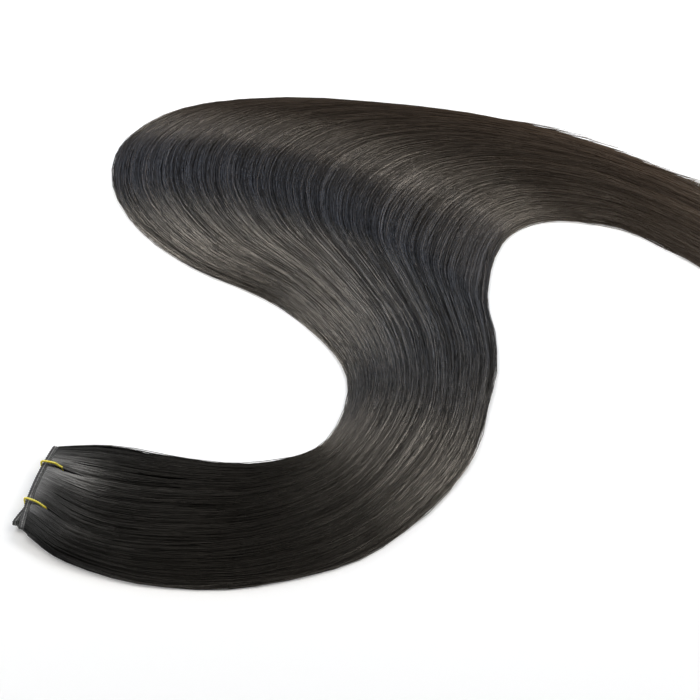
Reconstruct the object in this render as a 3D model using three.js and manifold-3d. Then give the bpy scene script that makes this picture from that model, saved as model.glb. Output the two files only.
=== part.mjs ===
// A hair weft lying in an S curve: a sewn track folded in three, a tress of long locks, two thread ties.
// Millimetres, +Z up. The tress lies on z = 0, and the origin is under the middle of the whole weft.
import * as THREE from "three";
import { mergeVertices } from "three/addons/utils/BufferGeometryUtils.js";
import Module from "manifold-3d";

const wasm = await Module();
wasm.setup();

// Tress: lengths along the hair, shares of the tress's width or height where no unit is given
const HAIR_LENGTH = 711;
const LENGTH_SPREAD = 0.065;
const LOCK_COUNT = 12;
const LOCK_STATIONS = 43;
const LOCK_TOP_POINTS = 5;
const LOCK_OVERLAP = 0.5;
const LOCK_GROOVE = 0.35;
const LOCK_STEP = 0.3;
const LOCK_STAGGER = [0, 14, -9, 6];
const TIP_LENGTH = 85;
const TIP_WIDTH_SHARE = 0.07;
const TIP_HEIGHT_SHARE = 0.18;
const DOME_POWER = 2.5;
const PATH_STEPS = 2000;
const MERGE_DISTANCE = 1e-4;

// Plan and height of the lying tress, a row for each section from the sewn root to the free tips: its left
// and right edge, how far its middle bows from the straight line between them, its height at the middle
// and at the edge, and how far it is off the surface
const SECTION_COLUMNS = ["left_x", "left_y", "right_x", "right_y", "bow_x", "bow_y", "crown", "rim", "lift"];
const SECTIONS = [
  [-211, -94, -222, -144.5, -2, 0.5, 4.55, 4.55, 1.4],
  [-188.5, -91.5, -204, -158.5, 3, -14, 8.5, 3.2, 1],
  [-150.5, -98, -164.5, -172, -4, -11, 10, 1.8, 0],
  [-117, -100.5, -117, -172, 0, -8, 11, 1.5, 0],
  [-89, -88.5, -66.5, -153, 3, 0, 11, 1.5, 0],
  [-77, -57, -25, -106, 3, 10, 10.5, 1.5, 0],
  [-84, -28, -7.5, -50.5, -3, 16, 9.5, 1.5, 0],
  [-113.5, 7.5, -5.5, -18, -6.5, 26, 8, 1.5, 0],
  [-158.5, 35.5, -7.5, 3, 0, 37, 7, 1.5, 0],
  [-191, 70.5, -7, 15, 13, 38, 6.5, 1.5, 0],
  [-204, 105, -5.5, 26.5, 22, 32, 6.5, 1.5, 0],
  [-198, 139, -2.5, 40.5, 25, 21, 7, 1.5, 0],
  [-166.5, 165.5, 4, 55.5, 24, 14, 7.5, 1.5, 0],
  [-115.5, 173.5, 13.5, 65, 19, 11, 8, 1.5, 0],
  [-59.5, 169, 26, 70, 11, 10, 8.5, 1.5, 0],
  [-4.5, 157.5, 43, 70, 5, 8, 9, 1.5, 0],
  [49, 135.5, 69.5, 62.5, 3, 8, 9, 1.5, 0],
  [109, 97, 102, 36, 5, 8, 8.5, 1.5, 0],
  [137.5, 77.5, 137, 5, 4, 6, 7.5, 1.4, 0],
  [163.5, 56, 178, -23, 2, 4, 6, 1.3, 0],
  [187.5, 32, 230.5, -50.5, 1, 2, 4.5, 1.2, 0],
].map((row) => Object.fromEntries(SECTION_COLUMNS.map((column, i) => [column, row[i]])));

// Track: one sewn strip, folded in three layers over each other
const TRACK_HEIGHT = 3.0;
const TRACK_THICK = 1.25;
const LAYER_GAP = 0.4;
const ROOT_GAP = 0.3;
const FREE_END_INSET = 4.0;
const TOP_END_INSET = 0.6;
const NEAR_FOLD_INSET = 4.0;
const SLIP_LENGTH = 11.0;
const SLIP = 4.0;
const RUN_STEPS = 8;
const FOLD_STEPS = 8;

// Ties: a row for each thread loop, its place along the track, how far its plane leans from square and how
// far it reaches into the hair
const TIE_COLUMNS = ["along", "lean_deg", "reach"];
const TIES = [
  [39.9, 0, 6.0],
  [16.2, -11, 6.6],
].map((row) => Object.fromEntries(TIE_COLUMNS.map((column, i) => [column, row[i]])));
const TIE_RADIUS = 0.45;
const TIE_CLEAR = 0.35;
const TIE_FLOOR_GAP = 0.1;
const TIE_SIDES = 8;
const TIE_STEPS = 38;

// Slit in the hair that each tie passes through: its ends along the tie's plane and its half width
const SLIT_FROM = 0.8;
const SLIT_TO = 34.0;
const SLIT_HALF = 1.15;
const SLIT_SKEW = 0.38;
const SLIT_POINTS = 12;
const SLIT_DEPTH = [-1.0, 15.0];

const smooth = (p0, p1, p2, p3, t) => {
  const ease = -0.5 * p0 + 1.5 * p1 - 1.5 * p2 + 0.5 * p3;
  const bend = p0 - 2.5 * p1 + 2 * p2 - 0.5 * p3;
  return ((ease * t + bend) * t + 0.5 * (p2 - p0)) * t + p1;
};

// The section at a place u along the rows, each column on one smooth curve through its values
function sectionAt(u) {
  const last = SECTIONS.length - 1;
  const row = Math.min(Math.floor(u), last - 1);
  const value = (column, i) => {
    if (i < 0) return 2 * SECTIONS[0][column] - SECTIONS[1][column];
    if (i > last) return 2 * SECTIONS[last][column] - SECTIONS[last - 1][column];
    return SECTIONS[i][column];
  };
  const blend = (column) => smooth(...[-1, 0, 1, 2].map((step) => value(column, row + step)), u - row);
  const section = Object.fromEntries(SECTION_COLUMNS.map((column) => [column, blend(column)]));
  section.lift = Math.max(0, section.lift);
  return section;
}

// The plan point at share v of the width, from the left edge over the bowed middle to the right edge
function planPoint(section, v) {
  const bow = 4 * v * (1 - v);
  const x = THREE.MathUtils.lerp(section.left_x, section.right_x, v) + bow * section.bow_x;
  const y = THREE.MathUtils.lerp(section.left_y, section.right_y, v) + bow * section.bow_y;
  return new THREE.Vector2(x, y);
}

// Distance travelled along the hair at share v of the width, one value for each small step of u
function hairPath(v) {
  const last = SECTIONS.length - 1;
  const steps = [{ u: 0, length: 0 }];
  let before = planPoint(sectionAt(0), v);
  for (let i = 1; i <= PATH_STEPS; i += 1) {
    const u = (last * i) / PATH_STEPS;
    const here = planPoint(sectionAt(u), v);
    steps.push({ u, length: steps[i - 1].length + here.distanceTo(before) });
    before = here;
  }
  return steps;
}

function closedGeometry(positions, triangles) {
  const geometry = new THREE.BufferGeometry();
  geometry.setAttribute("position", new THREE.Float32BufferAttribute(positions, 3));
  geometry.setIndex(triangles);
  return geometry;
}

function toSolid(geometry) {
  const bare = geometry.clone();
  bare.deleteAttribute("normal");
  bare.deleteAttribute("uv");
  const merged = mergeVertices(bare, MERGE_DISTANCE);
  const vertProperties = new Float32Array(merged.attributes.position.array);
  const triVerts = new Uint32Array(merged.index.array);
  return new wasm.Manifold(new wasm.Mesh({ numProp: 3, vertProperties, triVerts }));
}

function toGeometry(solid) {
  const mesh = solid.getMesh();
  return closedGeometry(Array.from(mesh.vertProperties), Array.from(mesh.triVerts));
}

// A closed skin over equal rings of points, with a fan of triangles on its first and last ring
function loft(rings) {
  const sides = rings[0].length;
  const positions = rings.flat().flatMap((point) => point.toArray());
  const triangles = [];
  for (let ring = 0; ring + 1 < rings.length; ring += 1) {
    for (let side = 0; side < sides; side += 1) {
      const next = (side + 1) % sides;
      const [a, b] = [ring * sides + side, ring * sides + next];
      const [c, d] = [a + sides, b + sides];
      triangles.push(a, d, b, a, c, d);
    }
  }
  const tip = (rings.length - 1) * sides;
  for (let side = 1; side + 1 < sides; side += 1) {
    triangles.push(0, side, side + 1);
    triangles.push(tip, tip + side + 1, tip + side);
  }
  return closedGeometry(positions, triangles);
}

// One lock's outline at a section: flat below, crowned above, highest along its own middle
function lockRing(section, centre, half, height, base) {
  const low = Math.max(0, centre - half);
  const high = Math.min(1, centre + half);
  const floor = section.lift + base;
  const at = (v, z) => {
    const plan = planPoint(section, v);
    return new THREE.Vector3(plan.x, plan.y, z);
  };
  const ring = [at(low, floor), at(high, floor)];
  for (let i = 0; i < LOCK_TOP_POINTS; i += 1) {
    const v = THREE.MathUtils.lerp(high, low, i / (LOCK_TOP_POINTS - 1));
    const dome = 1 - Math.abs(2 * v - 1) ** DOME_POWER;
    const groove = 1 - LOCK_GROOVE * ((v - centre) / half) ** 2;
    const above = section.rim + (section.crown - section.rim) * dome * groove;
    ring.push(at(v, floor + height * (above - base)));
  }
  return ring;
}

// One lock, from the sewn root to a pointed tip at its own length
function lockGeometry(index) {
  const centre = (index + 0.5) / LOCK_COUNT;
  const widest = (0.5 / LOCK_COUNT) * (1 + LOCK_OVERLAP);
  const base = index % 2 === 0 ? 0 : LOCK_STEP;
  const spread = HAIR_LENGTH * (1 + LENGTH_SPREAD * (1 - 2 * centre));
  const length = spread + LOCK_STAGGER[index % LOCK_STAGGER.length];
  const path = hairPath(centre);
  const end = path.find((step) => step.length >= length) ?? path.at(-1);
  const rings = [];
  for (let i = 0; i <= LOCK_STATIONS; i += 1) {
    const u = (end.u * i) / LOCK_STATIONS;
    const travelled = path.find((step) => step.u >= u - 1e-9).length;
    const remaining = THREE.MathUtils.clamp((end.length - travelled) / TIP_LENGTH, 0, 1);
    const width = widest * Math.max(TIP_WIDTH_SHARE, Math.sin((remaining * Math.PI) / 2));
    const height = Math.max(TIP_HEIGHT_SHARE, Math.sqrt(remaining));
    rings.push(lockRing(sectionAt(u), centre, width, height, base));
  }
  return loft(rings);
}

// The lens-shaped slit that one tie passes through, in the head's frame
function slitGeometry(tie) {
  const width = (share) => SLIT_HALF * Math.sin(Math.PI * share ** SLIT_SKEW);
  const outline = [];
  for (let i = 0; i < 2 * SLIT_POINTS; i += 1) {
    const share = 1 - Math.abs(1 - i / SLIT_POINTS);
    const side = i < SLIT_POINTS ? -1 : 1;
    outline.push(new THREE.Vector2(THREE.MathUtils.lerp(SLIT_FROM, SLIT_TO, share), side * width(share)));
  }
  const depth = SLIT_DEPTH[1] - SLIT_DEPTH[0];
  const geometry = new THREE.ExtrudeGeometry(new THREE.Shape(outline), { depth, bevelEnabled: false });
  geometry.translate(0, 0, SLIT_DEPTH[0]);
  geometry.rotateZ(THREE.MathUtils.degToRad(tie.lean_deg));
  return geometry.translate(-rootBack(tie.along), tie.along, 0);
}

// The head's frame: on the sewn root line, X along the hair, Y along the track to its far end
const rootNear = planPoint(SECTIONS[0], 1);
const rootLine = planPoint(SECTIONS[0], 0).sub(rootNear);
const trackLength = rootLine.length();
const head = new THREE.Group();
head.position.set(rootNear.x, rootNear.y, 0);
head.rotation.z = rootLine.angle() - Math.PI / 2;
head.updateMatrix();

// How far the root line and the track bow back from straight at a place along the track
function rootBack(y) {
  const share = y / trackLength;
  return 4 * share * (1 - share) * Math.hypot(SECTIONS[0].bow_x, SECTIONS[0].bow_y);
}

function tressGeometry() {
  let tress = toSolid(lockGeometry(0));
  for (let index = 1; index < LOCK_COUNT; index += 1) {
    tress = tress.add(toSolid(lockGeometry(index)));
  }
  for (const tie of TIES) {
    tress = tress.subtract(toSolid(slitGeometry(tie).applyMatrix4(head.matrix)));
  }
  return toGeometry(tress);
}

// The folded strip: flat runs joined by two round folds, a section across the strip at each stop
function trackGeometry() {
  const pitch = TRACK_THICK + LAYER_GAP;
  const bend = pitch / 2;
  const lowLayer = SECTIONS[0].lift + TRACK_THICK / 2;
  const nearFold = lowLayer + bend;
  const farFold = nearFold + pitch;
  const endInset = bend + TRACK_THICK / 2;
  const stops = [];
  const run = (z, side, from, to) => {
    for (let i = 0; i <= RUN_STEPS; i += 1) {
      stops.push({ y: THREE.MathUtils.lerp(from, to, i / RUN_STEPS), z, outY: 0, outZ: side });
    }
  };
  const fold = (y, z, from, to, side) => {
    for (let i = 1; i < FOLD_STEPS; i += 1) {
      const angle = THREE.MathUtils.lerp(from, to, i / FOLD_STEPS);
      const [across, up] = [Math.cos(angle), Math.sin(angle)];
      stops.push({ y: y + bend * across, z: z + bend * up, outY: side * across, outZ: side * up });
    }
  };
  const nearEnd = NEAR_FOLD_INSET + endInset;
  const farEnd = trackLength - endInset;
  run(lowLayer, -1, trackLength - FREE_END_INSET, nearEnd);
  fold(nearEnd, nearFold, -Math.PI / 2, -Math.PI * 1.5, 1);
  run(nearFold + bend, 1, nearEnd, farEnd);
  fold(farEnd, farFold, -Math.PI / 2, Math.PI / 2, -1);
  run(farFold + bend, -1, farEnd, TOP_END_INSET);
  return loft(stops.map((stop) => stripRing(stop, farFold)));
}

// A section across the strip; the lower fold slips back from under the top layer at the near end
function stripRing(stop, topLayerFrom) {
  const slipped = Math.max(0, 1 - (stop.y - NEAR_FOLD_INSET) / SLIP_LENGTH);
  const back = ROOT_GAP + rootBack(stop.y) + (stop.z < topLayerFrom ? SLIP * slipped : 0);
  const corner = (x, side) => {
    const out = (side * TRACK_THICK) / 2;
    return new THREE.Vector3(x - back, stop.y + out * stop.outY, stop.z + out * stop.outZ);
  };
  return [corner(0, 1), corner(-TRACK_HEIGHT, 1), corner(-TRACK_HEIGHT, -1), corner(0, -1)];
}

// One closed loop of thread round the folded track and down through its slit; its route holds places in
// the tie's own plane, along the hair and up
function tieGeometry(tie) {
  const under = TIE_RADIUS + TIE_FLOOR_GAP;
  const over = SECTIONS[0].lift + SECTIONS[0].crown + TIE_RADIUS + TIE_CLEAR;
  const lean = THREE.MathUtils.degToRad(tie.lean_deg);
  const back = -(TRACK_HEIGHT + ROOT_GAP + TIE_RADIUS + TIE_CLEAR) / Math.cos(lean);
  const middle = (under + over) / 2;
  const route = [
    [back, middle - 0.4],
    [back, middle + 1.5],
    [back + 0.3, over - 0.1],
    [back + 1.4, over + 0.45],
    [0.4, over + 0.5],
    [3.0, over + 0.1],
    [tie.reach - 1.6, over - 1.0],
    [tie.reach - 0.1, middle + 1.0],
    [tie.reach - 0.1, middle - 1.6],
    [tie.reach - 1.2, under + 0.2],
    [3.0, under],
    [-1.5, under],
    [back + 0.5, under + 0.3],
  ].map(([along, z]) => new THREE.Vector3(along, 0, z));
  const loop = new THREE.CatmullRomCurve3(route, true);
  const geometry = new THREE.TubeGeometry(loop, TIE_STEPS, TIE_RADIUS, TIE_SIDES, true);
  geometry.rotateZ(lean);
  geometry.deleteAttribute("normal");
  geometry.deleteAttribute("uv");
  return mergeVertices(geometry.translate(-rootBack(tie.along), tie.along, 0), MERGE_DISTANCE);
}

const hair = new THREE.MeshStandardMaterial({ color: 0x1f1b19, roughness: 0.42, metalness: 0 });
const sewn = new THREE.MeshStandardMaterial({ color: 0x4d4a48, roughness: 0.6, metalness: 0 });
const thread = new THREE.MeshStandardMaterial({ color: 0xe3bd36, roughness: 0.5, metalness: 0 });

function named(name, geometry, material) {
  const mesh = new THREE.Mesh(geometry, material);
  mesh.name = name;
  return mesh;
}

const weft = new THREE.Group();
weft.add(named("hair_tress", tressGeometry(), hair));
weft.add(head);
head.add(named("weft_track", trackGeometry(), sewn));
TIES.forEach((tie, i) => head.add(named(`tie_thread_${i + 1}`, tieGeometry(tie), thread)));

export default weft;
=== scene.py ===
import math
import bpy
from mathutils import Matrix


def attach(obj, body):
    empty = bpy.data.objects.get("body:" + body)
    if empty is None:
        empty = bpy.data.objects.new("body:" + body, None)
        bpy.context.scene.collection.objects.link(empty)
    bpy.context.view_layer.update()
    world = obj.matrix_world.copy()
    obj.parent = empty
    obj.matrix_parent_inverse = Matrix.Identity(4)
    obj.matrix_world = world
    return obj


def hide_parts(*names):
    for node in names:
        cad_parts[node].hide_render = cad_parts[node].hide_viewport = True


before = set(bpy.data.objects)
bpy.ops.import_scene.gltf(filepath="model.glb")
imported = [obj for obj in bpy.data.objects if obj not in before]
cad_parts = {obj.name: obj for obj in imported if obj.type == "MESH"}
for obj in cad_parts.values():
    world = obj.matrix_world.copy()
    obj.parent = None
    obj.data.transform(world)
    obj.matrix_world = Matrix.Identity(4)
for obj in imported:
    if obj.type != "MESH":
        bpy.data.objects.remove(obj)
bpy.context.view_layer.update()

from types import SimpleNamespace

import bpy
import numpy as np
from mathutils import Vector

rng = np.random.default_rng(11)
fray_rng = np.random.default_rng(12)

# Shapes are worked out in millimetres and turned into metres where a mesh is made
MM = 0.001
UP = np.array([0.0, 0.0, 1.0])

# Tress: the part's own sections, a row from the sewn root to the free tips
COLUMNS = ("left_x", "left_y", "right_x", "right_y", "bow_x", "bow_y", "crown", "rim", "lift")
SECTIONS = np.array([
    [-211, -94, -222, -144.5, -2, 0.5, 4.55, 4.55, 1.4],
    [-188.5, -91.5, -204, -158.5, 3, -14, 8.5, 3.2, 1],
    [-150.5, -98, -164.5, -172, -4, -11, 10, 1.8, 0],
    [-117, -100.5, -117, -172, 0, -8, 11, 1.5, 0],
    [-89, -88.5, -66.5, -153, 3, 0, 11, 1.5, 0],
    [-77, -57, -25, -106, 3, 10, 10.5, 1.5, 0],
    [-84, -28, -7.5, -50.5, -3, 16, 9.5, 1.5, 0],
    [-113.5, 7.5, -5.5, -18, -6.5, 26, 8, 1.5, 0],
    [-158.5, 35.5, -7.5, 3, 0, 37, 7, 1.5, 0],
    [-191, 70.5, -7, 15, 13, 38, 6.5, 1.5, 0],
    [-204, 105, -5.5, 26.5, 22, 32, 6.5, 1.5, 0],
    [-198, 139, -2.5, 40.5, 25, 21, 7, 1.5, 0],
    [-166.5, 165.5, 4, 55.5, 24, 14, 7.5, 1.5, 0],
    [-115.5, 173.5, 13.5, 65, 19, 11, 8, 1.5, 0],
    [-59.5, 169, 26, 70, 11, 10, 8.5, 1.5, 0],
    [-4.5, 157.5, 43, 70, 5, 8, 9, 1.5, 0],
    [49, 135.5, 69.5, 62.5, 3, 8, 9, 1.5, 0],
    [109, 97, 102, 36, 5, 8, 8.5, 1.5, 0],
    [137.5, 77.5, 137, 5, 4, 6, 7.5, 1.4, 0],
    [163.5, 56, 178, -23, 2, 4, 6, 1.3, 0],
    [187.5, 32, 230.5, -50.5, 1, 2, 4.5, 1.2, 0],
])
LAST_ROW = len(SECTIONS) - 1
DOME_POWER = 2.5
HAIR_LENGTH = 711.0
LENGTH_SPREAD = 0.065
TIP_LENGTH = 85.0
TIP_HEIGHT_SHARE = 0.18
TAIL_ROWS = (14.5, 18)

# Strands: thin closed tubes, in bands side by side across the tress
BANDS = ("left", "mid_left", "middle", "mid_right", "right")
STRANDS_PER_BAND = 580
STRAND_STEPS = 49
STRAND_SIDES = 3
STRAND_RADIUS = (0.125, 0.19)
TAPER = 0.75
TAPER_FROM = 0.86
FRAY_TAPER_FROM = 0.98

# Steps along a strand are closer near the root and in the bends
U_STEPS = 801
V_STEPS = 33
STEP_LENGTH = 11.0
STEP_TURN = math.radians(8.0)
ROOT_STEPS = 6.0
ROOT_STEP = 0.03
ROOT_LENGTH = 30.0

# Most strands lie near the top, edge ones at any depth, and each is a little shorter than the longest
TOP_SHARE = 0.88
TOP_DEPTH = 0.07
DEEPEST = 0.95
MIXED_EDGE = 0.025
SHORTER = 0.035
SHORTEST = 0.2

# Locks and wisps: strands are drawn to the middle of their lock just past the root and again on the tail
LOCKS = 22
WISPS = 420
LOCK_WIDTHS = (0.5, 1.5)
LOCK_PULLS = (0.15, 0.75)
LOCK_ROUNDING = 0.10
ROOT_PULL = 0.55
ROOT_PULL_IN = (0.15, 0.8)
ROOT_PULL_OUT = (2.0, 4.5)

# Sway across and ripple in height, rows for locks, wisps and strands: size, more on the tail, wavelengths
SWAY = ((0.2, 0.8, (260, 140)), (0.1, 0.5, (160, 85)), (0.6, 0.3, (150, 95)))
RIPPLE = ((0.06, 0.4, (220, 120)), (0.06, 0.0, (140, 80)), (0.2, 0.0, (110, 75)))
WAVE_SPREAD = (0.75, 1.35)
TAIL_SWAY = 0.6
TAIL_EDGE = 3.5
DRIFT = 0.012
FREED_LENGTH = 40.0
FULL_RIPPLE_HEIGHT = 5.0
SINK = 0.3
STRAND_FLOOR_GAP = 0.02

# Stray strands sway more and lie higher, and there are more of them along the edges
STRAY_SHARE = 0.07
STRAY_EDGE = 0.02
STRAY_EDGE_SHARE = 0.35
STRAY_STRENGTH = (1.3, 2.6)
STRAY_LIFT = 0.3

# Frayed ends that leave the tail's upper edge
FRAY_WIDTH = 0.10
FRAY_SHARE = 0.75
FRAY_ROWS = (15.1, 18.2)
FRAY_RUN = 0.7
FRAY_OUT = (-1.5, 8.0)
FRAY_LIFT = (0.5, 4.5)

# Partings at the ties: how wide the hair opens and how far its top dips there, by distance from the root
PARTING_OPENS = (1.5, 5.5)
PARTING_CLOSES = (7.5, 34.0)
PARTING_HALF = 0.75
PARTING_REACH = 3.0
PARTING_DIP = 1.6
PARTING_DIP_HALF = 1.7
PARTING_DIP_OPENS = (0, 7)
PARTING_DIP_CLOSES = (15, 120)
DEEP_DIP_LOSS = 0.6

# Roots: strands reach into the track, the lower layers slip back and the near ones start in the top layer
ROOTING_LENGTH = 26.0
ROOT_OVERLAP = 0.8
LOWER_LAYERS_DEPTH = 0.3
TOP_LAYER_HEIGHT = 5.0

# Tones of strands, as powers of e: single strands, wisps, locks on the tail, and the few bright ones
STRAND_SHADES = (-0.1, 0.3)
WISP_SHADES = (0, 0.08)
LOCK_SHADES = (-0.1, 0.3)
BRIGHT_SHARE = 0.12
BRIGHT_SHADE = 1.0
CONTRAST = 0.2
CONTRAST_GAIN = 1.1
CONTRAST_GAIN_RUN = (110, 270)
CONTRAST_LOSS = 0.75
CONTRAST_LOSS_RUN = (365, 425)

# Stretches of the hair lighter as painted sheen and darker as painted shade, a row each: change, where it
# comes in, where it goes out
SHEEN_AND_SHADE_STRETCHES = (
    (-0.22, (18, 35), (75, 110)),
    (-0.14, (120, 150), (195, 235)),
    (-0.16, (275, 320), (345, 365)),
    (0.13, (390, 412), (432, 455)),
)
# Across the arm the inner side is lighter as painted sheen and the outer side darker as painted shade
ARM_SHEEN_SLANT = 0.34
ARM_IN = (190, 240)
ARM_OUT = (290, 360)
# Strands along the edges are lighter: painted light on the edges
EDGE_PAINTED_LIGHT = 0.6
EDGE_PAINTED_LIGHT_WIDTH = 0.03

# Root tones: painted sheen towards the far end of the track, painted shade past that, and the most painted
# shade at the near corner
ROOT_TONE_LENGTH = 34.0
ROOT_PAINTED_SHEEN = 0.15
ROOT_PAINTED_SHEEN_FALL = 0.95
ROOT_PAINTED_SHEEN_SHARES = (0.22, 0.44)
ROOT_PAINTED_SHADE_RUN = (2, 12)
# Painted shade at the near corner of the root
ROOT_CORNER_PAINTED_SHADE = 0.55
ROOT_CORNER_SHARES = (0.7, 0.86)

# Inside of the tress, just under the strands, darker than them as painted shade between the strands
BODY_STEPS = 130
BODY_ACROSS = 72
BODY_FROM = 0.8
BODY_TIP_GAP = 40.0
BODY_INSET = 1.3
BODY_INSET_SHARE = 0.35
BODY_EDGE = 0.6
BODY_TAIL_EDGE = 3.0
BODY_TAIL_ROWS = (14.5, 17)
BODY_DIP = 1.6
BODY_STREAK = 0.04
BODY_LEAST = 0.25
BODY_FLOOR_GAP = 0.06
# The inside's darker tone is painted shade seen between the strands
BODY_SHADE_TONE = 0.6
BODY_TONE_SPREAD = 0.08

# Track and ties, as the part has them
TRACK_HEIGHT = 3.0
TRACK_THICK = 1.25
LAYER_GAP = 0.4
ROOT_GAP = 0.3
FREE_END_INSET = 4.0
TOP_END_INSET = 0.6
NEAR_FOLD_INSET = 4.0
SLIP_LENGTH = 11.0
SLIP = 4.0
TIES = ((39.9, 0.0, 6.0), (16.2, -11.0, 6.6))
TIE_RADIUS = 0.45
TIE_CLEAR = 0.35
TIE_FLOOR_GAP = 0.05

# Track: a rounded core under the sewn rows
FOLD_LEAST_STEPS = 6
CORE_SPACING = 1.2
CORE_INSET = 0.14
CORE_CORNER = 0.4
CORE_EDGE_GAP = 0.1
CORE_TONE = 0.12

# Sewn rows of two-ply thread on each face: distance from the root edge and tone of each row
SEW_ROWS = ((0.55, 0.4), (1.5, 1.0), (2.45, 0.25))
SEW_SPACING = 0.34
SEW_TWIST_LENGTH = 1.7
SEW_SIDEWAYS = 0.17
SEW_OUT = 0.06
SEW_DEPTH = 0.1
SEW_RADIUS = 0.2
SEW_SIDES = 4

# Thread whipped round the strip
WHIP_SPACING = 0.08
WHIP_TURN_LENGTH = 1.3
WHIP_BACK = 0.02
WHIP_OUT = 0.22
WHIP_SQUARENESS = 0.55
WHIP_RADIUS = 0.11
WHIP_TONE = 0.3

# Ties: two plies twisted round a closed loop
TIE_POINTS = 180
CURVE_STEPS = 40
PLY_RADIUS = 0.34
PLY_OFFSET = 0.24
PLY_TURNS = 15
PLY_SIDES = 7
STRIP_FILL = 0.96
OFF_AXIS = (0.31, 0.17, 0.94)


def sections_at(u):
    """Section columns at places u along the rows, each column on a smooth curve through its values."""
    before = 2 * SECTIONS[:1] - SECTIONS[1:2]
    after = 2 * SECTIONS[-1:] - SECTIONS[-2:-1]
    rows = np.concatenate([before, SECTIONS, after])
    row = np.clip(np.floor(u).astype(int), 0, LAST_ROW - 1)
    t = (u - row)[..., None]
    p0, p1, p2, p3 = (rows[row + k] for k in range(4))
    ease = -0.5 * p0 + 1.5 * p1 - 1.5 * p2 + 0.5 * p3
    bend = p0 - 2.5 * p1 + 2.0 * p2 - 0.5 * p3
    values = ((ease * t + bend) * t + 0.5 * (p2 - p0)) * t + p1
    sections = {name: values[..., i] for i, name in enumerate(COLUMNS)}
    sections["lift"] = np.maximum(sections["lift"], 0.0)
    return sections


def plan(sections, v):
    """Plan point at share v of the width, from the left edge over the bowed middle to the right edge."""
    bow = 4 * v * (1 - v)
    x = (1 - v) * sections["left_x"] + v * sections["right_x"] + bow * sections["bow_x"]
    y = (1 - v) * sections["left_y"] + v * sections["right_y"] + bow * sections["bow_y"]
    return np.stack([x, y], -1)


def straight_width(sections):
    return np.hypot(sections["right_x"] - sections["left_x"], sections["right_y"] - sections["left_y"])


def crown_height(sections, v):
    """Height of the smooth top above the underside at share v of the width."""
    dome = 1 - np.abs(2 * v - 1) ** DOME_POWER
    return sections["rim"] + (sections["crown"] - sections["rim"]) * dome


def smoothstep(low, high, x):
    t = np.clip((x - low) / (high - low), 0, 1)
    return t * t * (3 - 2 * t)


def stretch(comes_in, goes_out, x):
    """From 0 to 1 over the first range and back to 0 over the second."""
    return smoothstep(*comes_in, x) * (1 - smoothstep(*goes_out, x))


def hair_reach(v):
    """How long the hair is at share v of the width."""
    return HAIR_LENGTH * (1 + LENGTH_SPREAD * (1 - 2 * v))


# Distance travelled from the root and strand steps to get there, on a grid along and across the tress
U_GRID = np.linspace(0, LAST_ROW, U_STEPS)
V_GRID = np.linspace(0, 1, V_STEPS)
grid_plan = plan({k: c[:, None] for k, c in sections_at(U_GRID).items()}, V_GRID[None, :])
grid_moves = np.diff(grid_plan, axis=0)
grid_headings = np.unwrap(np.arctan2(grid_moves[..., 1], grid_moves[..., 0]), axis=0)
grid_turns = np.abs(np.diff(grid_headings, axis=0, prepend=grid_headings[:1]))
no_way = np.zeros((1, V_STEPS))
TRAVEL = np.concatenate([no_way, np.cumsum(np.linalg.norm(grid_moves, axis=-1), axis=0)])
TURNING = np.concatenate([no_way, np.cumsum(grid_turns, axis=0)])
PACE = TRAVEL / STEP_LENGTH + TURNING / STEP_TURN + ROOT_STEPS * (1 - np.exp(-TRAVEL / ROOT_LENGTH))
NEAR_ROOT_STEPS = U_STEPS // 10


def grid_column(grid, v):
    """Values at each step of U_GRID, at share v of the width."""
    place = np.clip(v, 0, 1) * (V_STEPS - 1)
    low = min(int(place), V_STEPS - 2)
    part = place - low
    return (1 - part) * grid[:, low] + part * grid[:, low + 1]


# The head's frame: on the sewn root line, X along the hair, Y along the track to its far end
root_far = SECTIONS[0, 0:2]
root_near = SECTIONS[0, 2:4]
ROOT_BOW = math.hypot(SECTIONS[0, 4], SECTIONS[0, 5])
ROOT_HEIGHT = SECTIONS[0, 6]
ROOT_LIFT = SECTIONS[0, 8]
TRACK_LENGTH = float(np.linalg.norm(root_far - root_near))
HEAD_Y = (root_far - root_near) / TRACK_LENGTH
HEAD_X = np.array([HEAD_Y[1], -HEAD_Y[0]])


def root_back(y):
    """How far the root line and the track bow back from straight at a place along the track."""
    share = y / TRACK_LENGTH
    return 4 * share * (1 - share) * ROOT_BOW


def slip_back(y):
    """How far the track's lower layers slip back at a place along it."""
    return SLIP * np.clip(1 - (y - NEAR_FOLD_INSET) / SLIP_LENGTH, 0, 1)


def head_to_world(points):
    flat = root_near + points[..., 0:1] * HEAD_X + points[..., 1:2] * HEAD_Y
    return np.concatenate([flat, points[..., 2:3]], -1)


def parting_shares():
    """Share of the width at which each tie's thread goes down into the hair."""
    near_root = grid_plan[:NEAR_ROOT_STEPS]
    shares = []
    for along, lean_deg, reach in TIES:
        lean = math.radians(lean_deg)
        ahead = reach * math.cos(lean) - root_back(along)
        dip = np.array([[ahead, along + reach * math.sin(lean), 0.0]])
        gap = np.linalg.norm(near_root - head_to_world(dip)[0, :2], axis=-1)
        shares.append(V_GRID[np.unravel_index(gap.argmin(), gap.shape)[1]])
    return shares


PARTINGS = parting_shares()


def part_hair(sections, v, travelled):
    """Moves hair aside at the two partings: the new share of the width, and how far the top dips there."""
    wide = straight_width(sections)
    half = PARTING_HALF * stretch(PARTING_OPENS, PARTING_CLOSES, travelled)
    deep = PARTING_DIP * stretch(PARTING_DIP_OPENS, PARTING_DIP_CLOSES, travelled)
    dip = np.zeros_like(v)
    for share in PARTINGS:
        across = (v - share) * wide
        side = np.sign(across[..., :1]) + (across[..., :1] == 0)
        push = side * half * np.exp(-np.abs(across) / PARTING_REACH)
        dip += deep * np.exp(-(across / PARTING_DIP_HALF) ** 2)
        v = v + push / wide
    return v, dip


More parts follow.
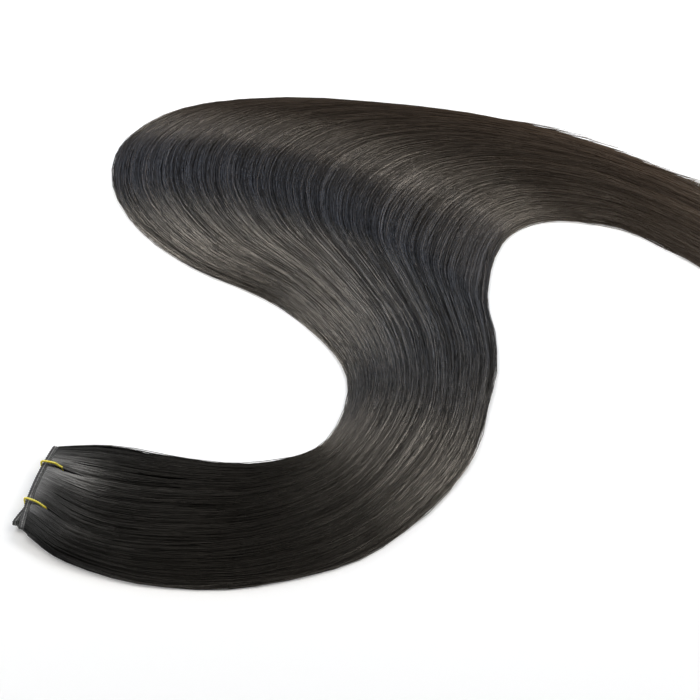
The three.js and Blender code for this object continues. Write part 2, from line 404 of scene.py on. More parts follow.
def waves(groups, count, travelled, lengths):
    """Smooth noise along the hair, about -1 to 1, shared by the strands of one group."""
    total = np.zeros_like(travelled)
    for length in lengths:
        phase = rng.uniform(0, 2 * np.pi, count)[groups][:, None]
        pace = (2 * np.pi / (length * rng.uniform(*WAVE_SPREAD, count)))[groups][:, None]
        total += np.sin(pace * travelled + phase)
    return total / len(lengths)


def make_piece(name, verts, face_sets, uv_sets, fields):
    """One mesh object from arrays: millimetre points, faces by corner count, their UVs, point values."""
    mesh = bpy.data.meshes.new(name)
    mesh.vertices.add(len(verts))
    mesh.vertices.foreach_set("co", (verts * MM).astype(np.float32).ravel())
    corners = np.concatenate([faces.ravel() for faces in face_sets])
    sizes = np.concatenate([np.full(len(faces), faces.shape[1]) for faces in face_sets])
    mesh.loops.add(len(corners))
    mesh.loops.foreach_set("vertex_index", corners.astype(np.int32))
    mesh.polygons.add(len(sizes))
    starts = np.concatenate([[0], np.cumsum(sizes)[:-1]])
    mesh.polygons.foreach_set("loop_start", starts.astype(np.int32))
    mesh.polygons.foreach_set("use_smooth", np.ones(len(sizes), dtype=bool))
    layer = mesh.uv_layers.new(name="OFBake")
    layer.data.foreach_set("uv", np.concatenate([uv.ravel() for uv in uv_sets]).astype(np.float32))
    for field, values in fields.items():
        point_values = mesh.attributes.new(field, "FLOAT", "POINT")
        point_values.data.foreach_set("value", values.astype(np.float32).ravel())
    mesh.update(calc_edges=True)
    mesh.validate()
    piece = bpy.data.objects.new(name, mesh)
    bpy.context.scene.collection.objects.link(piece)
    return piece


def tube_faces(tubes, rings, sides, closed=False):
    """Faces and UVs of equal tubes of rings by sides points, each with a strip of the UV square."""
    ring_count = rings if closed else rings - 1
    tube, ring, side = np.meshgrid(np.arange(tubes), np.arange(ring_count), np.arange(sides), indexing="ij")
    start = tube * rings * sides
    near = start + ring * sides
    far = start + ((ring + 1) % rings) * sides
    turn = (side + 1) % sides
    quads = np.stack([near + side, near + turn, far + turn, far + side], -1).reshape(-1, 4)
    u0, u1 = ring / ring_count, (ring + 1) / ring_count
    v0, v1 = (tube + side / sides) / tubes, (tube + (side + 1) / sides) / tubes
    quad_uv = np.stack([u0, v0, u0, v1, u1, v1, u1, v0], -1).reshape(-1, 4, 2)
    if closed:
        return [quads], [quad_uv]
    first = np.arange(tubes)[:, None] * rings * sides
    root_caps = first + np.arange(sides)[::-1][None, :]
    tip_caps = first + (rings - 1) * sides + np.arange(sides)[None, :]
    strip_middles = (np.arange(tubes) + 0.5)[:, None] / tubes
    spot = np.stack([np.zeros((tubes, sides)), np.repeat(strip_middles, sides, 1)], -1)
    return [quads, root_caps, tip_caps], [quad_uv, spot, spot + [1.0, 0.0]]


def strand_tubes(paths, radii, sides):
    """Ring points of many level strands at once: paths (n, steps, 3), radii (n, steps)."""
    ahead = np.gradient(paths, axis=1)
    ahead /= np.linalg.norm(ahead, axis=-1, keepdims=True)
    across = np.cross(ahead, UP)
    across /= np.linalg.norm(across, axis=-1, keepdims=True)
    up = np.cross(across, ahead)
    angles = 2 * np.pi * np.arange(sides) / sides + np.pi / 2
    ring = [radii[..., None] * (math.cos(a) * across + math.sin(a) * up) for a in angles]
    return paths[:, :, None, :] + np.stack(ring, 2)


lock_edges = np.cumsum(rng.uniform(*LOCK_WIDTHS, LOCKS + 1))
lock_edges = (lock_edges - lock_edges[0]) / (lock_edges[-1] - lock_edges[0])
lock_middles = (lock_edges[1:] + lock_edges[:-1]) / 2
lock_halves = np.diff(lock_edges) / 2
lock_pulls = rng.uniform(*LOCK_PULLS, LOCKS)
lock_shades = fray_rng.normal(*LOCK_SHADES, LOCKS)


def strand_places(v_root, length):
    """Places along the rows and distance travelled, for strands of a given root share and length."""
    u = np.empty((len(v_root), STRAND_STEPS + 1))
    travelled = np.empty_like(u)
    for i, (v, reach) in enumerate(zip(v_root, length)):
        travel, pace = grid_column(TRAVEL, v), grid_column(PACE, v)
        steps = np.linspace(ROOT_STEP, np.interp(reach, travel, pace), STRAND_STEPS)
        steps = np.concatenate([[0.0], steps])
        u[i] = np.interp(steps, pace, U_GRID)
        travelled[i] = np.interp(u[i], U_GRID, travel)
    return u, travelled


def root_strands(low, high, count):
    """A band of strands rooted between shares low and high of the track, with what is known along each."""
    v_root = low + (high - low) * (np.arange(count) + rng.uniform(0, 1, count)) / count
    near_top = rng.uniform(0, 1, count) < TOP_SHARE
    depth = np.where(near_top, rng.exponential(TOP_DEPTH, count), rng.uniform(0, 1, count))
    edge = np.minimum(v_root, 1 - v_root)
    depth = np.where(edge < MIXED_EDGE, rng.uniform(0, 1, count), depth).clip(0, DEEPEST)
    shorter = np.abs(rng.normal(0, SHORTER, count)).clip(0, SHORTEST)
    length = hair_reach(v_root) * (1 - shorter)
    frayed = (v_root < FRAY_WIDTH) & (rng.uniform(0, 1, count) < FRAY_SHARE)
    fray_from = rng.uniform(*FRAY_ROWS, count)
    for i in np.flatnonzero(frayed):
        length[i] = np.interp(fray_from[i] + FRAY_RUN, U_GRID, grid_column(TRAVEL, v_root[i]))
    u, travelled = strand_places(v_root, length)
    sections = sections_at(u)
    lock = np.searchsorted(lock_edges, v_root, side="right").clip(1, LOCKS) - 1
    wisp = np.minimum((v_root * WISPS).astype(int), WISPS - 1)
    return SimpleNamespace(
        count=count,
        v_root=v_root[:, None],
        edge=edge[:, None],
        depth=depth[:, None],
        length=length[:, None],
        frayed=frayed[:, None],
        fray=frayed[:, None] * smoothstep(0, FRAY_RUN, u - fray_from[:, None]),
        u=u,
        travelled=travelled,
        sections=sections,
        wide=straight_width(sections),
        freed=smoothstep(0, FREED_LENGTH, travelled),
        tail=smoothstep(*TAIL_ROWS, u),
        lock=lock,
        wisp=wisp,
        off_middle=(v_root - lock_middles[lock])[:, None],
    )


def group_waves(band, rows):
    """Waves of the locks, of the wisps and of the single strands, each as strong as its row says."""
    groups = ((band.lock, LOCKS), (band.wisp, WISPS), (np.arange(band.count), band.count))
    strengths = []
    for (members, count), (size, tail_more, lengths) in zip(groups, rows):
        strengths.append((size + tail_more * band.tail) * waves(members, count, band.travelled, lengths))
    return strengths


def spread_strands(band):
    """Share of the width along each strand, and how far it dips at the partings."""
    pull = ROOT_PULL * stretch(ROOT_PULL_IN, ROOT_PULL_OUT, band.u) + band.tail
    band.pull = pull * lock_pulls[band.lock][:, None]
    v = band.v_root - band.pull * band.off_middle
    v = v + band.freed * rng.normal(0, DRIFT, (band.count, 1)) * band.travelled / HAIR_LENGTH
    v = np.abs(v)
    v = 1 - np.abs(1 - v)
    stray_share = np.where(band.edge < STRAY_EDGE, STRAY_EDGE_SHARE, STRAY_SHARE)
    is_stray = rng.uniform(0, 1, (band.count, 1)) < stray_share
    band.stray = np.where(is_stray, rng.uniform(*STRAY_STRENGTH, (band.count, 1)), 1.0)
    lock_sway, wisp_sway, own_sway = group_waves(band, SWAY)
    sway = lock_sway + wisp_sway + band.stray * own_sway
    v = v + band.freed * (1 + TAIL_SWAY * band.tail) * sway / band.wide
    v = v + band.tail * TAIL_EDGE * np.exp(-np.abs(v) * band.wide / TAIL_EDGE) / band.wide
    v = v - band.fray * (v + rng.uniform(*FRAY_OUT, (band.count, 1)) / band.wide)
    band.v, band.dip = part_hair(band.sections, v, band.travelled)


def strand_paths(band):
    """Middle line of each strand in the lying tress, and its radius along it."""
    remaining = np.clip((hair_reach(band.v_root) - band.travelled) / TIP_LENGTH, 0, 1)
    settle = np.maximum(TIP_HEIGHT_SHARE, np.sqrt(remaining))
    tall = crown_height(band.sections, np.clip(band.v, 0, 1)) * settle
    lock_share = band.off_middle / lock_halves[band.lock][:, None]
    tall = tall * (1 - LOCK_ROUNDING * band.pull * lock_share ** 2)
    lock_ripple, wisp_ripple, own_ripple = group_waves(band, RIPPLE)
    ripple = lock_ripple + wisp_ripple + own_ripple + STRAY_LIFT * (band.stray - 1)
    radius = rng.uniform(*STRAND_RADIUS, (band.count, 1))
    above = tall * (1 - band.depth) - band.dip * (1 - DEEP_DIP_LOSS * band.depth)
    above = above + band.freed * np.minimum(1, tall / FULL_RIPPLE_HEIGHT) * ripple - SINK
    z = band.sections["lift"] + np.maximum(above, radius + STRAND_FLOOR_GAP)
    z = z + band.fray * fray_rng.uniform(*FRAY_LIFT, (band.count, 1))
    along_track = (1 - band.v_root) * TRACK_LENGTH
    rooting = np.clip(1 - band.travelled / ROOTING_LENGTH, 0, 1) ** 2
    past_fold = along_track < NEAR_FOLD_INSET
    z = z + past_fold * rooting * np.maximum(0, TOP_LAYER_HEIGHT - z)
    slip = slip_back(along_track) * (band.depth > LOWER_LAYERS_DEPTH) * ~past_fold
    paths = np.concatenate([plan(band.sections, band.v), z[..., None]], -1)
    paths[..., :2] -= ((ROOT_OVERLAP + slip) * rooting)[..., None] * HEAD_X
    taper_from = np.where(band.frayed, FRAY_TAPER_FROM, TAPER_FROM)
    taper = 1 - TAPER * smoothstep(taper_from, 1.0, band.travelled / band.length)
    return paths, radius * taper


def strand_tones(band):
    """How light each strand is along its length, around 1."""
    shade = rng.normal(*STRAND_SHADES, band.count) + rng.normal(*WISP_SHADES, WISPS)[band.wisp]
    shade = shade + BRIGHT_SHADE * (rng.uniform(0, 1, band.count) < BRIGHT_SHARE)
    contrast = CONTRAST + CONTRAST_GAIN * smoothstep(*CONTRAST_GAIN_RUN, band.travelled)
    contrast = contrast - CONTRAST_LOSS * smoothstep(*CONTRAST_LOSS_RUN, band.travelled)
    tone = np.exp(contrast * shade[:, None] + band.tail * lock_shades[band.lock][:, None])
    tone = tone * np.sqrt(band.stray)
    # Painted sheen on the arm's inner side and painted shade on its outer side
    change = ARM_SHEEN_SLANT * (0.5 - band.v_root) * stretch(ARM_IN, ARM_OUT, band.travelled)
    # Painted sheen and painted shade in stretches along the hair
    for amount, comes_in, goes_out in SHEEN_AND_SHADE_STRETCHES:
        change = change + amount * stretch(comes_in, goes_out, band.travelled)
    tone = tone * (1 + change)
    # Painted light on the edge strands
    tone = tone * (1 + EDGE_PAINTED_LIGHT * (1 - smoothstep(0, EDGE_PAINTED_LIGHT_WIDTH, band.edge)))
    # Painted sheen near the root at the far end of the track, painted shade past it
    root_sheen_and_shade = ROOT_PAINTED_SHEEN - ROOT_PAINTED_SHEEN_FALL * smoothstep(*ROOT_PAINTED_SHEEN_SHARES, band.v_root)
    root_sheen_and_shade = np.where(root_sheen_and_shade < 0, root_sheen_and_shade * smoothstep(*ROOT_PAINTED_SHADE_RUN, band.travelled), root_sheen_and_shade)
    near_root = np.exp(-((band.travelled / ROOT_TONE_LENGTH) ** 2))
    # Painted shade at the near corner of the root
    corner = ROOT_CORNER_PAINTED_SHADE * smoothstep(*ROOT_CORNER_SHARES, band.v_root)
    return tone * (1 + root_sheen_and_shade * near_root) * (1 - corner * near_root)


def strand_band(name, low, high, count):
    """One band of strands, rooted between shares low and high of the track."""
    band = root_strands(low, high, count)
    spread_strands(band)
    paths, radii = strand_paths(band)
    tone = strand_tones(band)
    rings = strand_tubes(paths, radii, STRAND_SIDES)
    faces, uvs = tube_faces(count, STRAND_STEPS + 1, STRAND_SIDES)
    along = np.repeat((band.travelled / HAIR_LENGTH)[..., None], STRAND_SIDES, 2)
    fields = {"hair_along": along, "hair_tone": np.repeat(tone[..., None], STRAND_SIDES, 2)}
    return make_piece(name, rings.reshape(-1, 3), faces, uvs, fields)


def hair_body():
    """The dense inside of the tress, a closed form just under the strands, darker as painted shade between
    them.
    """
    v_line = np.linspace(0, 1, BODY_ACROSS)
    u = np.empty((BODY_STEPS, BODY_ACROSS))
    travelled = np.empty_like(u)
    for j, share in enumerate(v_line):
        travelled[:, j] = np.linspace(BODY_FROM, hair_reach(share) - BODY_TIP_GAP, BODY_STEPS)
        u[:, j] = np.interp(travelled[:, j], grid_column(TRAVEL, share), U_GRID)
    sections = sections_at(u)
    edge = BODY_EDGE + BODY_TAIL_EDGE * smoothstep(*BODY_TAIL_ROWS, u)
    v = 0.5 + (v_line - 0.5)[None, :] * (1 - 2 * edge / straight_width(sections))
    moved, dip = part_hair({k: c.T for k, c in sections.items()}, v.T, travelled.T)
    flat = plan(sections, moved.T)
    remaining = np.clip((hair_reach(v) - travelled) / TIP_LENGTH, 0, 1)
    tall = crown_height(sections, v) * np.sqrt(remaining)
    streak = rng.normal(0, BODY_STREAK, BODY_ACROSS)[None, :]
    inset = np.minimum(BODY_INSET, BODY_INSET_SHARE * tall)
    top = np.maximum(tall - inset - BODY_DIP * dip.T + streak, BODY_LEAST)
    upper = np.concatenate([flat, (sections["lift"] + top)[..., None]], -1)
    lower = np.concatenate([flat, (sections["lift"] + BODY_FLOOR_GAP)[..., None]], -1)
    rings = np.concatenate([upper, lower[:, ::-1]], 1)
    faces, uvs = tube_faces(1, BODY_STEPS, 2 * BODY_ACROSS)
    faces = [f[:, ::-1] for f in faces]
    uvs = [uv[:, ::-1] for uv in uvs]
    # Darker tone of the inside: painted shade between the strands
    column_tones = BODY_SHADE_TONE * np.exp(rng.normal(0, BODY_TONE_SPREAD, BODY_ACROSS))
    tone = np.tile(column_tones, (BODY_STEPS, 1))
    fields = {"hair_along": travelled / HAIR_LENGTH, "hair_tone": tone, "hair_across": v}
    fields = {field: np.concatenate([c, c[:, ::-1]], 1) for field, c in fields.items()}
    return make_piece("hair_body", rings.reshape(-1, 3), faces, uvs, fields)


def sweep(points, radius, sides, closed=False):
    """Ring points of one tube along a path, its frame carried along without twist."""
    ahead = np.roll(points, -1, 0) - np.roll(points, 1, 0) if closed else np.gradient(points, axis=0)
    ahead /= np.linalg.norm(ahead, axis=1, keepdims=True)
    side = np.cross(ahead[0], OFF_AXIS)
    rings = np.empty((len(points), sides, 3))
    angles = 2 * np.pi * np.arange(sides) / sides
    for i, (point, way) in enumerate(zip(points, ahead)):
        side = side - way * side.dot(way)
        side /= np.linalg.norm(side)
        up = np.cross(way, side)
        rings[i] = point + radius * (np.cos(angles)[:, None] * side + np.sin(angles)[:, None] * up)
    return rings


def join_tubes(name, tubes):
    """One piece from separate tubes, each (rings, sides, 3) with its own strip of the UV square and tone."""
    verts, face_sets, uv_sets, tones = [], [], [], []
    start = 0
    for i, (rings, closed, tone) in enumerate(tubes):
        faces, uvs = tube_faces(1, rings.shape[0], rings.shape[1], closed)
        face_sets += [f + start for f in faces]
        uv_sets += [(uv * [1.0, STRIP_FILL] + [0.0, i]) / [1.0, len(tubes)] for uv in uvs]
        verts.append(rings.reshape(-1, 3))
        tones.append(np.full(len(verts[-1]), tone))
        start += len(verts[-1])
    fields = {"thread_tone": np.concatenate(tones)}
    return make_piece(name, np.concatenate(verts), face_sets, uv_sets, fields)


def strip_stops(spacing):
    """Places along the folded strip: along the track, height and outward side, and how far back each is."""
    pitch = TRACK_THICK + LAYER_GAP
    bend = pitch / 2
    low = ROOT_LIFT + TRACK_THICK / 2
    near_fold, far_fold = low + bend, low + bend + pitch
    inset = bend + TRACK_THICK / 2
    stops = []

    def run(start, end, z, side):
        for y in np.linspace(start, end, max(2, int(abs(end - start) / spacing)), endpoint=False):
            stops.append((y, z, 0.0, side))

    def fold(y, z, start, end, side):
        count = max(FOLD_LEAST_STEPS, int(math.pi * bend / spacing))
        for angle in np.linspace(start, end, count, endpoint=False):
            out_y, out_z = math.cos(angle), math.sin(angle)
            stops.append((y + bend * out_y, z + bend * out_z, side * out_y, side * out_z))

    near_end, far_end = NEAR_FOLD_INSET + inset, TRACK_LENGTH - inset
    run(TRACK_LENGTH - FREE_END_INSET, near_end, low, -1.0)
    fold(near_end, near_fold, -math.pi / 2, -1.5 * math.pi, 1.0)
    run(near_end, far_end, near_fold + bend, 1.0)
    fold(far_end, far_fold, -math.pi / 2, math.pi / 2, -1.0)
    run(far_end, TOP_END_INSET, far_fold + bend, -1.0)
    stops.append((TOP_END_INSET, far_fold + bend, 0.0, -1.0))
    stops = np.array(stops)
    lower_layers = stops[:, 1] < far_fold
    return stops, root_back(stops[:, 0]) + slip_back(stops[:, 0]) * lower_layers


def on_strip(stops, slip, back, out):
    """World points at distance back from the root edge and out from the strip's middle layer."""
    x = -ROOT_GAP - back - slip
    y = stops[:, 0] + out * stops[:, 2]
    z = stops[:, 1] + out * stops[:, 3]
    return head_to_world(np.stack([x, y, z], -1))


def core_outline(half):
    """Rounded outline of the strip's core: distances back from the root edge and out from the middle."""
    near = CORE_EDGE_GAP + CORE_CORNER
    far = TRACK_HEIGHT - near
    side = half - CORE_CORNER
    outline = []
    for back, out, start in ((near, side, 0.5), (near, -side, 1.0), (far, -side, 1.5), (far, side, 2.0)):
        for turn in (0.0, 0.25, 0.5):
            angle = math.pi * (start + turn)
            outline.append((back + CORE_CORNER * math.cos(angle), out + CORE_CORNER * math.sin(angle)))
    return outline


def whipped_edge(half):
    """Path of the thread that winds round the strip, slanting from turn to turn."""
    def squared(wave):
        return np.sign(wave) * np.abs(wave) ** WHIP_SQUARENESS

    stops, slip = strip_stops(WHIP_SPACING)
    distance = np.arange(len(stops)) * WHIP_SPACING
    turn = 2 * math.pi * distance / WHIP_TURN_LENGTH
    back = TRACK_HEIGHT / 2 + (TRACK_HEIGHT / 2 + WHIP_BACK) * squared(np.cos(turn))
    out = (half + WHIP_OUT) * squared(np.sin(turn))
    return on_strip(stops, slip, back, out)


def weft_track():
    """The folded strip: a rounded core, sewn rows of twisted thread, and a thread whipped over its edge."""
    half = TRACK_THICK / 2 - CORE_INSET
    stops, slip = strip_stops(CORE_SPACING)
    core = np.stack([on_strip(stops, slip, back, out) for back, out in core_outline(half)], 1)
    tubes = [(core, False, CORE_TONE)]
    stops, slip = strip_stops(SEW_SPACING)
    distance = np.arange(len(stops)) * SEW_SPACING
    for face in (-1.0, 1.0):
        for row_back, tone in SEW_ROWS:
            for ply in (0.0, math.pi):
                turn = 2 * math.pi * distance / SEW_TWIST_LENGTH + ply + row_back
                back = row_back + SEW_SIDEWAYS * np.cos(turn)
                out = face * (half + SEW_OUT) + SEW_DEPTH * np.sin(turn)
                path = on_strip(stops, slip, back, out)
                tubes.append((sweep(path, SEW_RADIUS, SEW_SIDES), False, tone))
    tubes.append((sweep(whipped_edge(half), WHIP_RADIUS, SEW_SIDES), False, WHIP_TONE))
    return join_tubes("weft_track_sewn", tubes)


def closed_curve(knots, count):
    """Points on a closed smooth curve through the knots, evenly spaced."""
    dense = []
    for i in range(len(knots)):
        p0, p1, p2, p3 = (knots[(i + k) % len(knots)] for k in (-1, 0, 1, 2))
        gaps = [np.linalg.norm(b - a) ** 0.5 for a, b in ((p0, p1), (p1, p2), (p2, p3))]
        t0, t1 = 0.0, gaps[0]
        t2, t3 = t1 + gaps[1], t1 + gaps[1] + gaps[2]
        for t in np.linspace(t1, t2, CURVE_STEPS, endpoint=False):
            a1 = (t1 - t) / (t1 - t0) * p0 + (t - t0) / (t1 - t0) * p1
            a2 = (t2 - t) / (t2 - t1) * p1 + (t - t1) / (t2 - t1) * p2
            a3 = (t3 - t) / (t3 - t2) * p2 + (t - t2) / (t3 - t2) * p3
            b1 = (t2 - t) / (t2 - t0) * a1 + (t - t0) / (t2 - t0) * a2
            b2 = (t3 - t) / (t3 - t1) * a2 + (t - t1) / (t3 - t1) * a3
            dense.append((t2 - t) / (t2 - t1) * b1 + (t - t1) / (t2 - t1) * b2)
    dense = np.array(dense + dense[:1])
    walked = np.concatenate([[0], np.cumsum(np.linalg.norm(np.diff(dense, axis=0), axis=1))])
    at = np.linspace(0, walked[-1], count, endpoint=False)
    return np.stack([np.interp(at, walked, dense[:, k]) for k in range(3)], -1)


def tie_thread(name, along, lean_deg, reach):
    """A closed loop of twisted thread round the folded track and down through its parting."""
    under = PLY_RADIUS + PLY_OFFSET + TIE_FLOOR_GAP
    over = ROOT_LIFT + ROOT_HEIGHT + TIE_RADIUS + TIE_CLEAR
    lean = math.radians(lean_deg)
    back = -(TRACK_HEIGHT + ROOT_GAP + TIE_RADIUS + TIE_CLEAR) / math.cos(lean)
    middle = (under + over) / 2
    # Distance ahead and height of each knot, from behind the track over its top and back under it
    route = np.array([
        (back, middle - 0.4),
        (back, middle + 1.5),
        (back + 0.3, over - 0.1),
        (back + 1.4, over + 0.45),
        (0.4, over + 0.5),
        (3.0, over + 0.1),
        (reach - 1.6, over - 1.0),
        (reach - 0.1, middle + 1.0),
        (reach - 0.1, middle - 1.6),
        (reach - 1.2, under + 0.2),
        (3.0, under),
        (-1.5, under),
        (back + 0.5, under + 0.3),
    ])
    ahead = np.array([math.cos(lean), math.sin(lean), 0.0])
    across = np.array([-math.sin(lean), math.cos(lean), 0.0])
    centre = np.array([-root_back(along), along, 0.0])
    middle_line = closed_curve(centre + route[:, :1] * ahead + route[:, 1:] * UP, TIE_POINTS)
    way = np.roll(middle_line, -1, 0) - np.roll(middle_line, 1, 0)
    way /= np.linalg.norm(way, axis=1, keepdims=True)
    out = np.cross(way, across)
    tubes = []
    for ply in (0.0, math.pi):
        angle = 2 * math.pi * PLY_TURNS * np.arange(TIE_POINTS) / TIE_POINTS + ply
        offset = PLY_OFFSET * (np.cos(angle)[:, None] * across + np.sin(angle)[:, None] * out)
        path = head_to_world(middle_line + offset)
        tubes.append((sweep(path, PLY_RADIUS, PLY_SIDES, closed=True), True, 1.0))
    return join_tubes(name, tubes)


# Hair colours and the tint of its shine, by share of its length
HAIR_COLOURS = (
    (0.0, (0.0085, 0.0078, 0.0065)),
    (0.45, (0.014, 0.0118, 0.0095)),
    (0.75, (0.029, 0.0196, 0.0130)),
    (1.0, (0.066, 0.043, 0.028)),
)
SHEEN_COLOURS = (
    (0.0, (0.97, 0.98, 1.0)),
    (0.12, (1.0, 0.91, 0.80)),
)

# Lighter strands are smoother and shine more: a range of tones, and the values at its ends
ROUGHNESS_TONES = (0.5, 1.8)
ROUGHNESS = (0.34, 0.23)
SHINE_TONES = (0.5, 2.2)
SHINE = (0.1, 1.45)
HAIR_IOR = 1.55
BODY_BUMP = 0.0004
BODY_BUMP_STRETCH = (14.0, 420.0, 1.0)

# Threads: darker and lighter colour, roughness and fineness of the fibres
SEWN_THREAD = ((0.12, 0.118, 0.115), (0.40, 0.395, 0.385), 0.42, 900.0)
TIE_THREAD = ((0.95, 0.72, 0.01), (1.0, 0.95, 0.20), 0.26, 1400.0)
DARK_FIBRES = 0.3
LIGHT_FIBRES = 0.7
FIBRE_DETAIL = 4.0
FIBRE_BUMP = 0.00008

# Floor and sky
FLOOR_HALF = 4.0
FLOOR_COLOUR = (0.9, 0.9, 0.9, 1.0)
FLOOR_ROUGHNESS = 0.8
FLOOR_SHINE = 0.1
FLOOR_GLOW = (1.0, 1.0, 1.0, 1.0)
FLOOR_GLOW_STRENGTH = 0.15
SKY_COLOUR = (0.85, 0.9, 1.0, 1.0)
SKY_STRENGTH = 0.05

# Camera at the photograph's angle
AIM = Vector((-0.0764, -0.0251, 0.0))
CAMERA_ELEVATION = 45.0
CAMERA_DISTANCE = 1.0
FIELD_OF_VIEW = 19.5
SENSOR_WIDTH = 36.0
CLIP_START = 0.01

# Lamps: place in metres, side of the square, brightness, colour
WARM = (1.0, 0.985, 0.955)
COOL = (0.42, 0.62, 1.0)
SOFTBOXES = (
    ("softbox_right_near", (0.33, 0.36, 0.80), 0.35, 5.2, WARM),
    ("softbox_right", (0.55, 0.20, 0.80), 0.40, 3.0, WARM),
    ("softbox_right_far", (0.95, 0.35, 0.80), 0.50, 5.5, WARM),
    ("softbox_right_back", (0.30, 0.80, 0.80), 0.50, 1.0, WARM),
    ("softbox_left", (-1.40, 0.25, 0.80), 0.65, 6.0, WARM),
    ("softbox_left_high", (-0.72, 0.47, 0.80), 0.47, 6.0, WARM),
    ("softbox_left_near", (-0.50, 0.30, 0.80), 0.35, 1.9, WARM),
    ("softbox_left_back", (-1.40, 0.80, 0.80), 0.65, 3.0, WARM),
    ("softbox_back", (-0.20, 1.40, 0.80), 1.20, 1.2, COOL),
    ("softbox_front", (0.90, -0.90, 0.90), 0.50, 4.5, WARM),
)


def new_material(name):
    material = bpy.data.materials.new(name)
    material.use_nodes = True
    nodes = material.node_tree.nodes
    return material, nodes, material.node_tree.links, nodes["Principled BSDF"]


def point_value(nodes, field):
    """Output of a node that reads a value kept on the mesh's points."""
    reader = nodes.new("ShaderNodeAttribute")
    reader.attribute_name = field
    return reader.outputs["Fac"]


def colour_ramp(nodes, links, value, stops):
    """Colour that changes with a value, from stop to stop."""
    ramp = nodes.new("ShaderNodeValToRGB")
    for place, _ in stops[1:-1]:
        ramp.color_ramp.elements.new(place)
    for stop, (place, colour) in zip(ramp.color_ramp.elements, stops):
        stop.position = place
        stop.color = (*colour, 1.0)
    links.new(value, ramp.inputs["Fac"])
    return ramp.outputs["Color"]


def toned(nodes, links, colour, tone):
    """Colour made lighter or darker by a tone."""
    shade = nodes.new("ShaderNodeVectorMath")
    shade.operation = "SCALE"
    links.new(colour, shade.inputs[0])
    links.new(tone, shade.inputs["Scale"])
    return shade.outputs["Vector"]


def in_range(nodes, links, value, source, target):
    """Value moved from a source range into a target range."""
    spread = nodes.new("ShaderNodeMapRange")
    spread.inputs["From Min"].default_value = source[0]
    spread.inputs["From Max"].default_value = source[1]
    spread.inputs["To Min"].default_value = target[0]
    spread.inputs["To Max"].default_value = target[1]
    links.new(value, spread.inputs["Value"])
    return spread.outputs["Result"]


def bumped(nodes, links, height, distance):
    """Normal of a surface with small bumps."""
    bump = nodes.new("ShaderNodeBump")
    bump.inputs["Distance"].default_value = distance
    links.new(height, bump.inputs["Height"])
    return bump.outputs["Normal"]


def hair_material(name, with_bump):
    """Off-black at the root to dark brown at the tips, each strand a little lighter or darker."""
    material, nodes, links, shader = new_material(name)
    along = point_value(nodes, "hair_along")
    tone = point_value(nodes, "hair_tone")
    colour = toned(nodes, links, colour_ramp(nodes, links, along, HAIR_COLOURS), tone)
    links.new(colour, shader.inputs["Base Color"])
    links.new(in_range(nodes, links, tone, ROUGHNESS_TONES, ROUGHNESS), shader.inputs["Roughness"])
    links.new(in_range(nodes, links, tone, SHINE_TONES, SHINE), shader.inputs["Specular IOR Level"])
    links.new(colour_ramp(nodes, links, along, SHEEN_COLOURS), shader.inputs["Specular Tint"])
    shader.inputs["IOR"].default_value = HAIR_IOR
    if with_bump:
        place = nodes.new("ShaderNodeCombineXYZ")
        links.new(along, place.inputs["X"])
        links.new(point_value(nodes, "hair_across"), place.inputs["Y"])
        drawn_out = nodes.new("ShaderNodeVectorMath")
        drawn_out.operation = "MULTIPLY"
        drawn_out.inputs[1].default_value = BODY_BUMP_STRETCH
        links.new(place.outputs["Vector"], drawn_out.inputs[0])
        noise = nodes.new("ShaderNodeTexNoise")
        noise.inputs["Scale"].default_value = 1.0
        links.new(drawn_out.outputs["Vector"], noise.inputs["Vector"])
        links.new(bumped(nodes, links, noise.outputs["Fac"], BODY_BUMP), shader.inputs["Normal"])
    return material


def thread_material(name, dark, light, roughness, scale):
    """Spun thread: fine fibre bump and a slight change of tone along it."""
    material, nodes, links, shader = new_material(name)
    place = nodes.new("ShaderNodeTexCoord")
    noise = nodes.new("ShaderNodeTexNoise")
    noise.inputs["Scale"].default_value = scale
    noise.inputs["Detail"].default_value = FIBRE_DETAIL
    links.new(place.outputs["Object"], noise.inputs["Vector"])
    fibres = noise.outputs["Fac"]
    stops = ((DARK_FIBRES, dark), (LIGHT_FIBRES, light))
    tone = point_value(nodes, "thread_tone")
    colour = toned(nodes, links, colour_ramp(nodes, links, fibres, stops), tone)
    links.new(colour, shader.inputs["Base Color"])
    links.new(bumped(nodes, links, fibres, FIBRE_BUMP), shader.inputs["Normal"])
    shader.inputs["Roughness"].default_value = roughness
    return material


def plain_floor():
    mesh = bpy.data.meshes.new("floor")
    corners = [(x * FLOOR_HALF, y * FLOOR_HALF, 0) for x, y in ((-1, -1), (1, -1), (1, 1), (-1, 1))]
    mesh.from_pydata(corners, [], [(0, 1, 2, 3)])
    floor = bpy.data.objects.new("floor", mesh)
    bpy.context.scene.collection.objects.link(floor)
    material, _, _, shader = new_material("floor_white")
    shader.inputs["Base Color"].default_value = FLOOR_COLOUR
    shader.inputs["Roughness"].default_value = FLOOR_ROUGHNESS
    shader.inputs["Specular IOR Level"].default_value = FLOOR_SHINE
    shader.inputs["Emission Color"].default_value = FLOOR_GLOW
    shader.inputs["Emission Strength"].default_value = FLOOR_GLOW_STRENGTH
    mesh.materials.append(material)


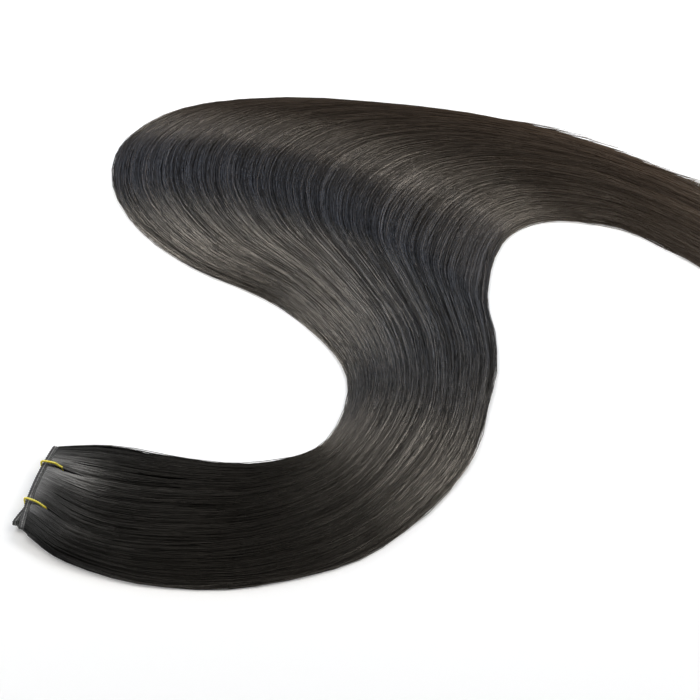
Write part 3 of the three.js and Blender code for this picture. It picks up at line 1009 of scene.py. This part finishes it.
def camera():
    data = bpy.data.cameras.new("camera")
    data.sensor_width = SENSOR_WIDTH
    data.lens = data.sensor_width / 2 / math.tan(math.radians(FIELD_OF_VIEW / 2))
    data.clip_start = CLIP_START
    shot = bpy.data.objects.new("camera", data)
    bpy.context.scene.collection.objects.link(shot)
    tilt = math.radians(CAMERA_ELEVATION)
    shot.location = AIM + CAMERA_DISTANCE * Vector((0.0, -math.cos(tilt), math.sin(tilt)))
    shot.rotation_euler = (AIM - shot.location).to_track_quat("-Z", "Y").to_euler()
    bpy.context.scene.camera = shot


def softbox(name, place, size, radiance, colour):
    """A square lamp at a place, facing the middle of the hair, of a given brightness per area."""
    data = bpy.data.lights.new(name, "AREA")
    data.shape = "SQUARE"
    data.size = size
    data.energy = radiance * math.pi * size * size
    data.color = colour
    light = bpy.data.objects.new(name, data)
    bpy.context.scene.collection.objects.link(light)
    light.location = place
    light.rotation_euler = (AIM - light.location).to_track_quat("-Z", "Y").to_euler()


def studio():
    world = bpy.data.worlds.new("studio")
    bpy.context.scene.world = world
    world.use_nodes = True
    sky = world.node_tree.nodes["Background"]
    sky.inputs["Color"].default_value = SKY_COLOUR
    sky.inputs["Strength"].default_value = SKY_STRENGTH
    for lamp in SOFTBOXES:
        softbox(*lamp)
    bpy.context.scene.view_settings.view_transform = "Standard"


def dress(piece, look, slot, *nodes):
    """Gives a piece its material and its body, and hides the solids it stands for; the slot is not used."""
    piece.data.materials.append(look)
    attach(piece, "root")
    if nodes:
        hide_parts(*nodes)


camera()
studio()
plain_floor()

strand_look = hair_material("hair_strand", with_bump=False)
body_look = hair_material("hair_inside", with_bump=True)
sewn_look = thread_material("sewn_thread", *SEWN_THREAD)
tie_look = thread_material("tie_thread", *TIE_THREAD)

dress(hair_body(), body_look, "hair", "hair_tress")
for band_number, band_name in enumerate(BANDS):
    share = 1.0 / len(BANDS)
    low, high = band_number * share, (band_number + 1) * share
    dress(strand_band("hair_strands_" + band_name, low, high, STRANDS_PER_BAND), strand_look, "hair")
dress(weft_track(), sewn_look, "sewn_track", "weft_track")
for number, tie in enumerate(TIES, start=1):
    thread = tie_thread("tie_thread_%d_twisted" % number, *tie)
    dress(thread, tie_look, "tie_thread", "tie_thread_%d" % number)
